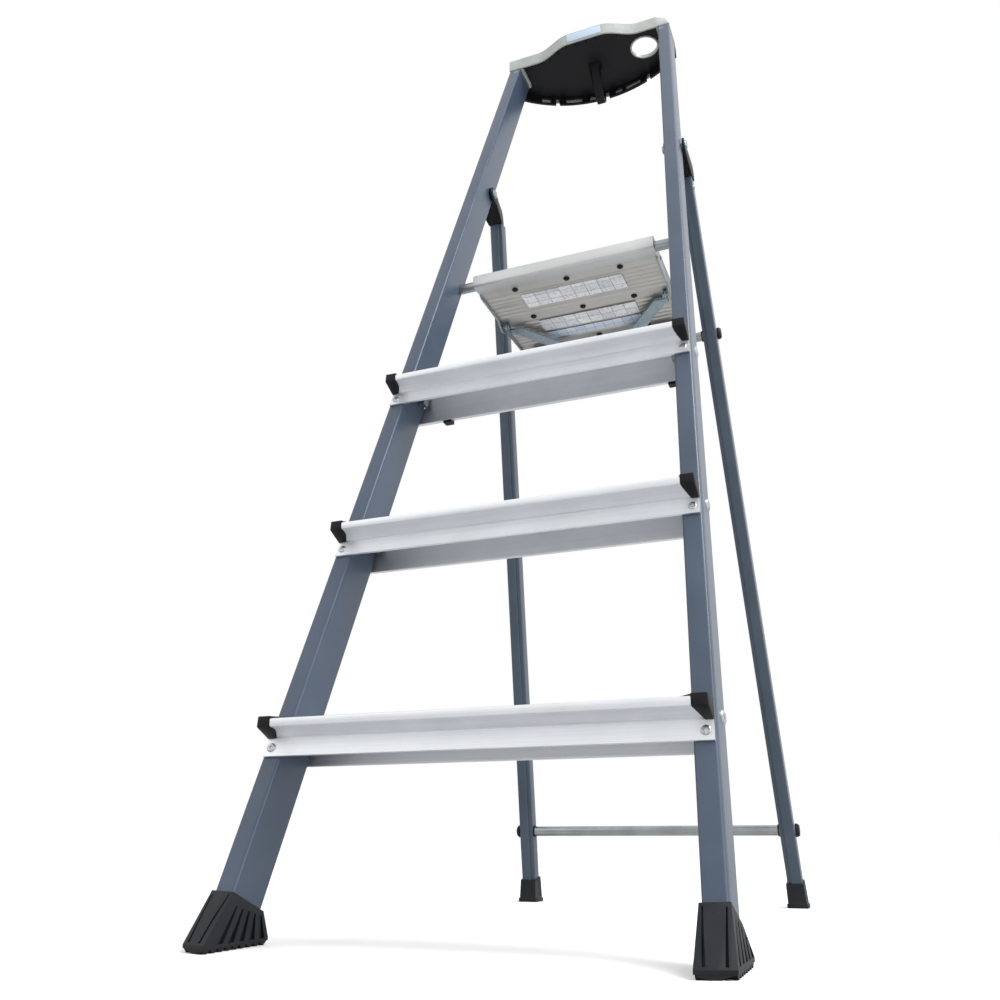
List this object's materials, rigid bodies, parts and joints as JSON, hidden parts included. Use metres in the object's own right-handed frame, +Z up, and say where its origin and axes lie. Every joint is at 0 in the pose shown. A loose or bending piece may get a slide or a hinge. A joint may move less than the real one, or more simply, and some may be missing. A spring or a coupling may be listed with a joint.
{
  "type": "folding step ladder",
  "caption": "Folding step ladder with channel treads, a hinged platform, a folding rear support and a tool tray on top.",
  "frame": {"origin": "on the floor at the centre of the footprint, midway between the front feet's toes and the rear feet's heels", "axes": "+X across the ladder to the climber's right, +Y away from the climber, +Z up"},
  "size_m": [0.4556, 0.7946, 1.433],
  "materials": {
    "slate_coated_aluminium": "satin powder coat",
    "dark_slate_coated_aluminium": "satin powder coat",
    "bare_aluminium": "satin extruded aluminium",
    "platform_aluminium": "matt extruded aluminium",
    "black_plastic": "moulded, fine grain",
    "black_rubber": "moulded rubber",
    "grey_plastic": "moulded, fine grain",
    "blank_label": "blank film",
    "zinc_plated_steel": "zinc plated",
    "drawn_tube": "drawn tube"
  },
  "bodies": {
    "front_frame": {"front_stile_left": "slate_coated_aluminium", "front_stile_right": "slate_coated_aluminium", "step_lower": "bare_aluminium", "step_middle": "bare_aluminium", "step_upper": "bare_aluminium", "step_corner_caps": "black_plastic", "step_end_brackets": "bare_aluminium", "step_front_rivets": "zinc_plated_steel", "step_side_rivets": "zinc_plated_steel", "front_foot_left": "black_rubber", "front_foot_right": "black_rubber", "closing_clips": "black_plastic", "platform_hinge_rod": "drawn_tube", "hinge_rivets": "zinc_plated_steel", "hinge_washers": "zinc_plated_steel", "tray_shell": "grey_plastic", "tray_base": "black_plastic", "tray_label_plate": "blank_label", "tray_screws": "zinc_plated_steel", "bucket_hook": "black_plastic"},
    "rear_frame": {"rear_leg_left": "dark_slate_coated_aluminium", "rear_leg_right": "dark_slate_coated_aluminium", "hinge_knuckle_left": "black_plastic", "hinge_knuckle_right": "black_plastic", "knuckle_rivets": "zinc_plated_steel", "lower_cross_tube": "drawn_tube", "upper_cross_tube": "drawn_tube", "cross_tube_bushings": "black_plastic", "cross_tube_end_caps": "black_plastic", "rear_foot_left": "black_rubber", "rear_foot_right": "black_rubber"},
    "platform": {"platform_nose": "platform_aluminium", "platform_front_plank": "platform_aluminium", "platform_middle_plank": "platform_aluminium", "platform_rear_plank": "platform_aluminium", "platform_side_plate_left": "platform_aluminium", "platform_side_plate_right": "platform_aluminium", "platform_side_screws": "zinc_plated_steel", "platform_plugs": "black_plastic", "platform_label_plates": "blank_label", "platform_rest_pads": "black_plastic", "stay_pins": "zinc_plated_steel"},
    "stay": {"stay_strap_left": "zinc_plated_steel", "stay_strap_right": "zinc_plated_steel", "stay_hook_plate": "zinc_plated_steel", "stay_rivets": "zinc_plated_steel"}
  },
  "joints": [
    {"name": "rear_fold", "type": "hinge", "parent": "front_frame", "child": "rear_frame", "pos_m": [0, 0.0785, 1.071], "axis": [-1, 0, 0], "range_deg": [0, 34]},
    {"name": "platform_fold", "type": "hinge", "parent": "front_frame", "child": "platform", "pos_m": [0, -0.00757, 0.845], "axis": [1, 0, 0], "range_deg": [0, 68.7]},
    {"name": "stay_swing", "type": "hinge", "parent": "platform", "child": "stay", "pos_m": [0, 0.09343, 0.831], "axis": [-1, 0, 0], "range_deg": [0, 149]}
  ],
  "couplings": [
    {"joint": "platform_fold", "follows": "rear_fold", "ratio": 2.0206},
    {"joint": "stay_swing", "follows": "rear_fold", "ratio": 4.3824}
  ]
}
